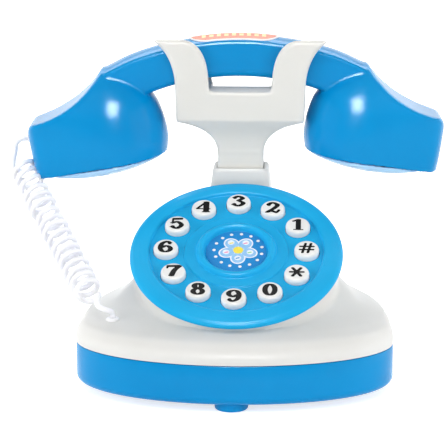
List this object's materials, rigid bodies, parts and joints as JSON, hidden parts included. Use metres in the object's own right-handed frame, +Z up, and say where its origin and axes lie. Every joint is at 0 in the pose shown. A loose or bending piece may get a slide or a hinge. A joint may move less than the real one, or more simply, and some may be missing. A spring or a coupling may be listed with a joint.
{
  "type": "toy telephone",
  "caption": "Toy push-button telephone: oval base, tilted round key dial, cradle on a sprung post, lift-off arched handset and curly cord.",
  "frame": {"origin": "on the standing surface, at the centre of the front foot's underside", "axes": "+X to the right of someone facing the dial, +Y to the back, +Z up"},
  "size_m": [0.2164, 0.1501, 0.1582],
  "materials": {
    "blue_plastic": "glossy",
    "white_plastic": "glossy",
    "pale_blue_plastic": "glossy",
    "key_plastic": "glossy",
    "cord_plastic": "soft gloss",
    "sticker": "printed",
    "label": "printed",
    "silicone": "matt",
    "circuit_board": "satin",
    "steel": "satin",
    "black_plastic": "satin",
    "battery": "satin"
  },
  "bodies": {
    "base": {"base_tray": "blue_plastic", "upper_shell": "white_plastic", "dial_plate": "blue_plastic", "dial_sticker": "sticker", "key_mat": "silicone", "key_pcb": "circuit_board", "pcb_screw_1": "steel", "pcb_screw_2": "steel", "dial_screw_1": "steel", "dial_screw_2": "steel", "dial_screw_3": "steel", "main_pcb": "circuit_board", "speaker": "black_plastic", "battery_1": "battery", "battery_2": "battery", "battery_contacts": "steel", "battery_door": "blue_plastic", "door_screw": "steel", "base_screw_1": "steel", "base_screw_2": "steel", "base_screw_3": "steel", "base_screw_4": "steel", "hook_spring": "steel", "hook_switch": "black_plastic", "gland_base": "white_plastic", "cord_coil": "cord_plastic", "cord_tail": "cord_plastic"},
    "press_0": {"key_0": "key_plastic"},
    "press_1": {"key_1": "key_plastic"},
    "press_2": {"key_2": "key_plastic"},
    "press_3": {"key_3": "key_plastic"},
    "press_4": {"key_4": "key_plastic"},
    "press_5": {"key_5": "key_plastic"},
    "press_6": {"key_6": "key_plastic"},
    "press_7": {"key_7": "key_plastic"},
    "press_8": {"key_8": "key_plastic"},
    "press_9": {"key_9": "key_plastic"},
    "press_star": {"key_star": "key_plastic"},
    "press_hash": {"key_hash": "key_plastic"},
    "hook": {"cradle_front": "white_plastic", "cradle_back": "white_plastic", "cradle_screw_1": "steel", "cradle_screw_2": "steel"},
    "receiver": {"handset_top": "blue_plastic", "handset_bottom": "blue_plastic", "cap_left": "pale_blue_plastic", "cap_right": "pale_blue_plastic", "cap_screw_left": "steel", "cap_screw_right": "steel", "handset_label": "label", "gland_handset": "white_plastic", "cord_lead": "cord_plastic"}
  },
  "joints": [
    {"name": "key_0_press", "type": "slide", "parent": "base", "child": "press_0", "axis": [0, 0.4848, -0.8746], "range_m": [0, 0.0015], "stiffness_N_per_m": 400, "springref_m": -0.0008},
    {"name": "key_1_press", "type": "slide", "parent": "base", "child": "press_1", "axis": [0, 0.4848, -0.8746], "range_m": [0, 0.0015], "stiffness_N_per_m": 400, "springref_m": -0.0008},
    {"name": "key_2_press", "type": "slide", "parent": "base", "child": "press_2", "axis": [0, 0.4848, -0.8746], "range_m": [0, 0.0015], "stiffness_N_per_m": 400, "springref_m": -0.0008},
    {"name": "key_3_press", "type": "slide", "parent": "base", "child": "press_3", "axis": [0, 0.4848, -0.8746], "range_m": [0, 0.0015], "stiffness_N_per_m": 400, "springref_m": -0.0008},
    {"name": "key_4_press", "type": "slide", "parent": "base", "child": "press_4", "axis": [0, 0.4848, -0.8746], "range_m": [0, 0.0015], "stiffness_N_per_m": 400, "springref_m": -0.0008},
    {"name": "key_5_press", "type": "slide", "parent": "base", "child": "press_5", "axis": [0, 0.4848, -0.8746], "range_m": [0, 0.0015], "stiffness_N_per_m": 400, "springref_m": -0.0008},
    {"name": "key_6_press", "type": "slide", "parent": "base", "child": "press_6", "axis": [0, 0.4848, -0.8746], "range_m": [0, 0.0015], "stiffness_N_per_m": 400, "springref_m": -0.0008},
    {"name": "key_7_press", "type": "slide", "parent": "base", "child": "press_7", "axis": [0, 0.4848, -0.8746], "range_m": [0, 0.0015], "stiffness_N_per_m": 400, "springref_m": -0.0008},
    {"name": "key_8_press", "type": "slide", "parent": "base", "child": "press_8", "axis": [0, 0.4848, -0.8746], "range_m": [0, 0.0015], "stiffness_N_per_m": 400, "springref_m": -0.0008},
    {"name": "key_9_press", "type": "slide", "parent": "base", "child": "press_9", "axis": [0, 0.4848, -0.8746], "range_m": [0, 0.0015], "stiffness_N_per_m": 400, "springref_m": -0.0008},
    {"name": "key_star_press", "type": "slide", "parent": "base", "child": "press_star", "axis": [0, 0.4848, -0.8746], "range_m": [0, 0.0015], "stiffness_N_per_m": 400, "springref_m": -0.0008},
    {"name": "key_hash_press", "type": "slide", "parent": "base", "child": "press_hash", "axis": [0, 0.4848, -0.8746], "range_m": [0, 0.0015], "stiffness_N_per_m": 400, "springref_m": -0.0008},
    {"name": "cradle_rise", "type": "slide", "parent": "base", "child": "hook", "axis": [0, 0, 1], "range_m": [0, 0.0025], "deforming": ["hook_spring"]},
    {"name": "handset_lift", "type": "slide", "parent": "base", "child": "receiver", "axis": [0, 0, 1], "range_m": [0, 0.028]}
  ],
  "couplings": [
    {"joint": "cradle_rise", "follows": "handset_lift", "ratio": 0.089286}
  ]
}
